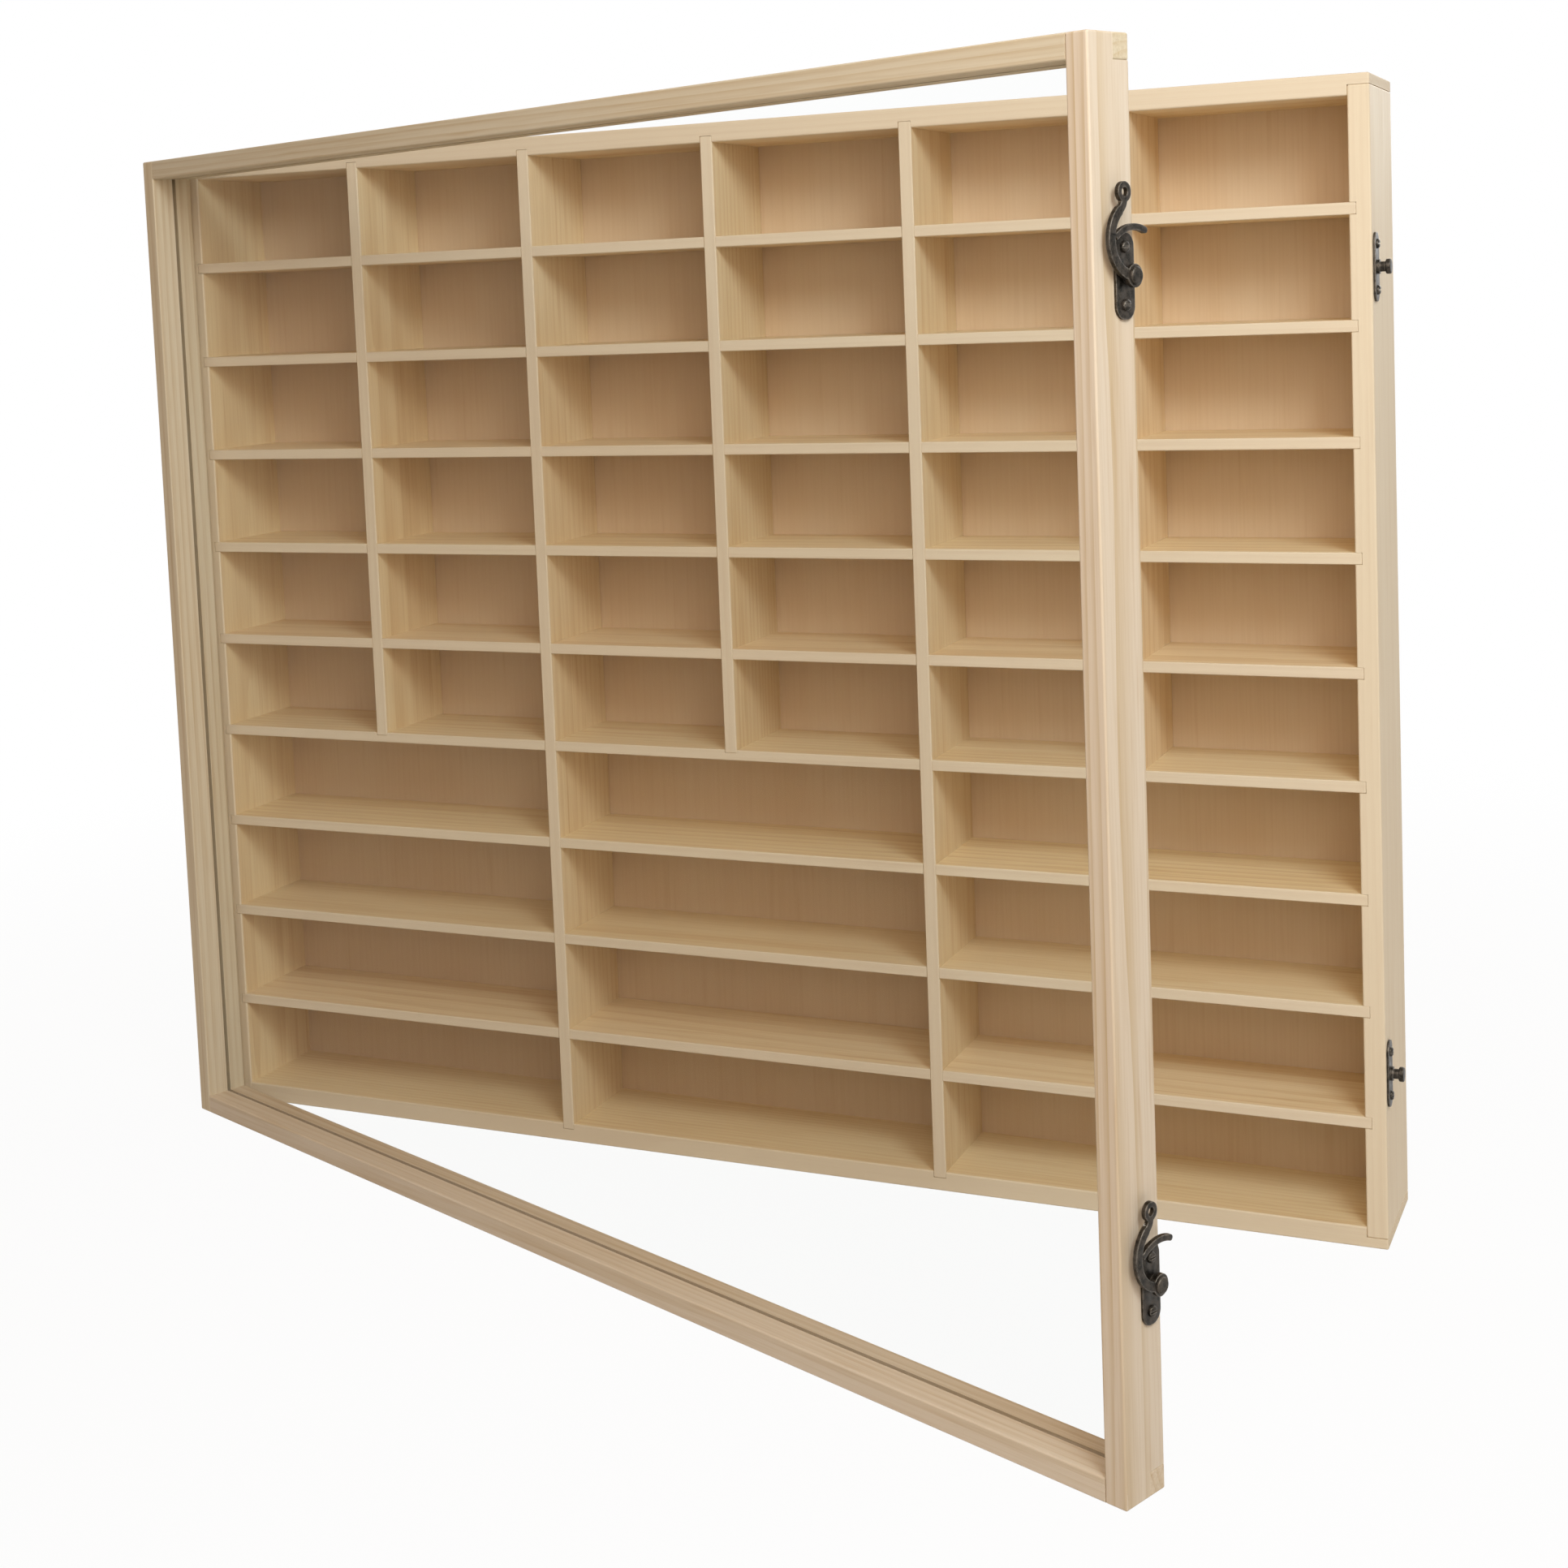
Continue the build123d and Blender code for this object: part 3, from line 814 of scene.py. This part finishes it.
@dataclass
class Workshop:
    """The frame, the shared effects and the finishes that every sub-assembly uses."""

    frame: Mapping[str, Any]
    effects: Effects
    case_pine: WoodFinish
    door_pine: WoodFinish
    plywood: WoodFinish
    bronze: bpy.types.Material
    steel: bpy.types.Material
    clear: bpy.types.Material

    @classmethod
    def open(cls, frame: Mapping[str, Any]) -> "Workshop":
        """Make the finishes.

        Args:
            frame: The loaded frame.

        Returns:
            The workshop.
        """
        effects = Effects.make()
        return cls(
            frame=frame,
            effects=effects,
            # The case pine gets painted light, a paler colour on its outer faces.
            case_pine=WoodFinish("case_pine", pale=(0.85, 0.70, 0.46, 1.0), amber=(0.68, 0.475, 0.235, 1.0),
                                 ring_strength=0.38, painted_light_share=0.7),
            door_pine=WoodFinish("door_pine", pale=(0.70, 0.62, 0.49, 1.0), amber=(0.53, 0.40, 0.22, 1.0),
                                 ring_strength=0.5),
            plywood=WoodFinish("plywood", pale=(0.72, 0.57, 0.405, 1.0), amber=(0.59, 0.40, 0.225, 1.0),
                               ring_strength=0.07, streak_strength=0.45, tone_spread=0.02),
            bronze=BronzeFinish("antique_bronze").material(effects),
            steel=NailFinish("nail_steel").material(effects),
            clear=ClearPanelFinish("clear_panel").material(),
        )

    def node(self, name: str) -> bpy.types.Object:
        """The CAD piece of that name."""
        return self.frame["nodes"][name]

    def dress(self, name: str, material: bpy.types.Material) -> None:
        """Give a CAD piece its finish.

        Args:
            name: The CAD node.
            material: Its finish.
        """
        piece = self.node(name)
        piece.data.materials.clear()
        piece.data.materials.append(material)
        LOG.info("dressed %s in %s", name, material.name)

    def dress_board(self, name: str, grain: Grain, finish: WoodFinish) -> None:
        """Give a board a finish with its own figure.

        Args:
            name: The CAD node.
            grain: Which way its grain runs.
            finish: The wood that it's made of.
        """
        self.dress(name, finish.material(name, grain, self.effects))

    def soften(self, name: str, body: str, rounding: Rounding) -> None:
        """Replace a CAD metal piece by a copy whose sharp edges are rounded.

        Args:
            name: The CAD node.
            body: The body that it rides on.
            rounding: How its edges are rounded.
        """
        shape = bmesh.new()
        shape.from_mesh(self.node(name).data)
        bmesh.ops.remove_doubles(shape, verts=shape.verts, dist=MERGE_DISTANCE)
        bmesh.ops.dissolve_limit(shape, angle_limit=FLAT_ANGLE, verts=shape.verts, edges=shape.edges,
                                 use_dissolve_boundaries=False, delimit=set())
        sharp = [edge for edge in shape.edges
                 if len(edge.link_faces) == 2 and edge.calc_face_angle(0.0) > SHARP_ANGLE]
        bmesh.ops.bevel(shape, geom=sharp, affect="EDGES", offset=rounding.radius, offset_type="OFFSET",
                        segments=rounding.steps, profile=0.5, material=-1, clamp_overlap=True)
        bmesh.ops.dissolve_degenerate(shape, dist=MERGE_DISTANCE, edges=shape.edges)
        bmesh.ops.recalc_face_normals(shape, faces=shape.faces)
        mesh = bpy.data.meshes.new(f"{name}_softened")
        shape.to_mesh(mesh)
        shape.free()
        mesh.shade_smooth()
        mesh.set_sharp_from_angle(angle=SHADED_ANGLE)
        mesh.materials.append(self.bronze)
        piece = bpy.data.objects.new(f"{name}_softened", mesh)
        bpy.context.scene.collection.objects.link(piece)
        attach(piece, body)
        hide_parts(name)
        LOG.info("made %s with %d faces", piece.name, len(mesh.polygons))


@dataclass
class SubAssembly(ABC):
    """Pieces that belong together and are finished together."""

    shop: Workshop

    @abstractmethod
    def build(self) -> None:
        """Finish the pieces."""


@dataclass
class CaseShell(SubAssembly):
    """The four boards, the back panel and its nails."""

    level_boards: tuple[str, ...] = ("top_board", "bottom_board")
    upright_boards: tuple[str, ...] = ("left_side", "right_side")

    def build(self) -> None:
        """Dress the shell."""
        for name in self.level_boards:
            self.shop.dress_board(name, Grain.LEVEL, self.shop.case_pine)
        for name in self.upright_boards:
            self.shop.dress_board(name, Grain.UPRIGHT, self.shop.case_pine)
        self.shop.dress_board("back_panel", Grain.UPRIGHT, self.shop.plywood)
        self.shop.dress("back_panel_nails", self.shop.steel)


@dataclass
class CompartmentGrid(SubAssembly):
    """The shelves and the dividers lapped into them."""

    shelves: int = 9
    dividers: int = 5

    def build(self) -> None:
        """Dress the grid."""
        for index in range(1, self.shelves + 1):
            self.shop.dress_board(f"shelf_{index}", Grain.LEVEL, self.shop.case_pine)
        for index in range(1, self.dividers + 1):
            self.shop.dress_board(f"divider_{index}", Grain.UPRIGHT, self.shop.case_pine)


@dataclass
class DoorFrame(SubAssembly):
    """The framed door and its clear pane."""

    rails: tuple[str, ...] = ("door_top_rail", "door_bottom_rail")
    stiles: tuple[str, ...] = ("door_hinge_stile", "door_latch_stile")

    def build(self) -> None:
        """Dress the door."""
        for name in self.rails:
            self.shop.dress_board(name, Grain.DOOR_LEVEL, self.shop.door_pine)
        for name in self.stiles:
            self.shop.dress_board(name, Grain.DOOR_UPRIGHT, self.shop.door_pine)
        self.shop.dress("door_pane", self.shop.clear)


@dataclass
class HookLatch(SubAssembly):
    """A swan-shaped hook on its base plate, riveted to the door's latch stile."""

    end: str
    hook: Rounding = Rounding(0.00055, 4)
    plate: Rounding = Rounding(0.0003, 3)

    def build(self) -> None:
        """Round the hook and the plate, and dress the rivet."""
        self.shop.soften(f"{self.end}_hook", f"{self.end}_hook", self.hook)
        self.shop.soften(f"{self.end}_latch_plate", "door", self.plate)
        self.shop.dress(f"{self.end}_latch_pivot", self.shop.bronze)


@dataclass
class Keeper(SubAssembly):
    """A round-headed knob on its base plate, on the case's right side."""

    end: str
    plate: Rounding = Rounding(0.0003, 3)

    def build(self) -> None:
        """Round the plate and dress the knob."""
        self.shop.soften(f"{self.end}_keeper_plate", "case", self.plate)
        self.shop.dress(f"{self.end}_keeper_knob", self.shop.bronze)


@dataclass
class LeafHinge(SubAssembly):
    """Two leaves that turn about a pin."""

    end: str
    leaf: Rounding = Rounding(0.0002, 2)

    def build(self) -> None:
        """Round the leaves and dress the pin."""
        self.shop.soften(f"{self.end}_hinge_case_leaf", "case", self.leaf)
        self.shop.soften(f"{self.end}_hinge_door_leaf", "door", self.leaf)
        self.shop.dress(f"{self.end}_hinge_pin", self.shop.bronze)


@dataclass
class Screws(SubAssembly):
    """Every round-headed screw of the hinges, latches and keepers."""

    nodes: tuple[str, ...] = ("hinge_case_screws", "hinge_door_screws", "keeper_screws", "latch_screws")

    def build(self) -> None:
        """Dress the screws."""
        for name in self.nodes:
            self.shop.dress(name, self.shop.bronze)


@dataclass(frozen=True)
class Lamp:
    """A square area lamp: its place and aim in metres, its width and its power in watts."""

    name: str
    place: Place
    aim: Place
    width: float
    power: float
    colour: tuple[float, float, float]

    def hang(self) -> None:
        """Put the lamp in the scene."""
        data = bpy.data.lights.new(self.name, "AREA")
        data.shape = "SQUARE"
        data.size = self.width
        data.energy = self.power
        data.color = self.colour
        lamp = bpy.data.objects.new(self.name, data)
        bpy.context.scene.collection.objects.link(lamp)
        lamp.location = self.place
        lamp.rotation_euler = (Vector(self.aim) - Vector(self.place)).to_track_quat("-Z", "Y").to_euler()
        LOG.info("hung lamp %s", self.name)


@dataclass
class Studio:
    """The pale floor, the lamps, the surroundings and the camera at the photograph's place."""

    floor_size: float = 8.0
    floor_grey: Colour = (0.72, 0.72, 0.72, 1.0)
    floor_white: Ramp = Ramp(0.35, 1.1, 0.95, 1.0)
    ambient_colour: Colour = (1.0, 0.72, 0.49, 1.0)
    ambient: Ramp = Ramp(0.0, 0.8, 0.12375, 0.4725)
    camera_place: Place = (0.4462, -0.98761, 0.4142)
    camera_right: Place = (0.90809769, 0.41673605, -0.0411053)
    camera_up: Place = (0.00170134, 0.09448752, 0.99552459)
    camera_back: Place = (0.41875493, -0.90410352, 0.08509489)
    sensor_width: float = 36.0
    lens: float = 52.15
    shift: tuple[float, float] = (0.03807, -0.18608)
    nearest: float = 0.01
    lamps: tuple[Lamp, ...] = (
        Lamp("key_lamp", (0.80, -0.78, 0.95), (0.1, 0.0, 0.25), 0.4, 6.1, (0.80, 0.93, 1.0)),
        Lamp("front_lamp", (0.40, -0.83, 0.71), (0.1, 0.0, 0.25), 0.6, 3.8, (1.0, 0.86, 0.76)),
        Lamp("rear_lamp", (0.7, 1.5, 0.9), (0.0, 0.0, 0.25), 0.8, 9.0, (0.95, 0.98, 1.0)),
    )

    def white_rays(self, sheet: NodeSheet) -> bpy.types.NodeSocket:
        """A factor that is 1 for the rays that show plain white.

        Args:
            sheet: The node sheet to add it to.

        Returns:
            The factor's socket.
        """
        rays = sheet.add("ShaderNodeLightPath")
        total: Any = 0.0
        for ray in WhiteRay:
            total = sheet.maths("ADD", total, rays.outputs[ray.value], clamp=True)
        return total

    def surroundings(self) -> None:
        """A plain world: white to look at, and as light soft, slightly warm and brighter from above."""
        world = bpy.data.worlds.new("studio")
        bpy.context.scene.world = world
        sheet = NodeSheet.cleared(world)
        where = sheet.add("ShaderNodeTexCoord")
        height = sheet.add("ShaderNodeSeparateXYZ", {"Vector": where.outputs["Generated"]}).outputs["Z"]
        light = sheet.add("ShaderNodeBackground", {"Color": self.ambient_colour,
                                                   "Strength": sheet.spread(height, self.ambient)})
        white = sheet.add("ShaderNodeBackground", {"Color": WHITE, "Strength": 1.0})
        seen = sheet.mix_shaders(self.white_rays(sheet), light, white)
        sheet.add("ShaderNodeOutputWorld", {"Surface": seen})

    def floor(self) -> None:
        """A pale floor that keeps a soft shadow and fades to white away from the case."""
        material = bpy.data.materials.new("floor_white")
        sheet = NodeSheet.cleared(material)
        matt = sheet.add("ShaderNodeBsdfDiffuse", {"Color": self.floor_grey})
        glow = sheet.add("ShaderNodeEmission", {"Color": WHITE, "Strength": 1.0})
        where = sheet.add("ShaderNodeTexCoord")
        reach = sheet.vector("LENGTH", where.outputs["Object"]).outputs["Value"]
        share = sheet.maths("MULTIPLY", self.white_rays(sheet), sheet.spread(reach, self.floor_white))
        sheet.add("ShaderNodeOutputMaterial", {"Surface": sheet.mix_shaders(share, matt, glow)})
        shape = bmesh.new()
        bmesh.ops.create_grid(shape, x_segments=1, y_segments=1, size=self.floor_size / 2)
        mesh = bpy.data.meshes.new("studio_floor")
        shape.to_mesh(mesh)
        shape.free()
        mesh.materials.append(material)
        floor = bpy.data.objects.new("studio_floor", mesh)
        bpy.context.scene.collection.objects.link(floor)
        LOG.info("laid the floor")

    def camera(self) -> None:
        """The camera at the photograph's place and angle."""
        data = bpy.data.cameras.new("camera")
        data.sensor_width = self.sensor_width
        data.lens = self.lens
        data.shift_x, data.shift_y = self.shift
        data.clip_start = self.nearest
        camera = bpy.data.objects.new("camera", data)
        bpy.context.scene.collection.objects.link(camera)
        axes = Matrix((self.camera_right, self.camera_up, self.camera_back)).transposed()
        camera.matrix_world = Matrix.Translation(self.camera_place) @ axes.to_4x4()
        bpy.context.scene.camera = camera

    def build(self) -> None:
        """Set the whole studio up."""
        bpy.context.scene.view_settings.view_transform = "Standard"
        self.surroundings()
        self.floor()
        for lamp in self.lamps:
            lamp.hang()
        self.camera()


def main() -> None:
    """Build the looks of the display case around the frame."""
    logging.basicConfig(level=logging.INFO, format="%(message)s")
    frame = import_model()
    shop = Workshop.open(frame)
    assemblies: list[SubAssembly] = [CaseShell(shop), CompartmentGrid(shop), DoorFrame(shop)]
    for end in ("upper", "lower"):
        assemblies += [HookLatch(shop, end), Keeper(shop, end), LeafHinge(shop, end)]
    assemblies.append(Screws(shop))
    for assembly in assemblies:
        assembly.build()
    Studio().build()


if __name__ == "__main__":
    main()
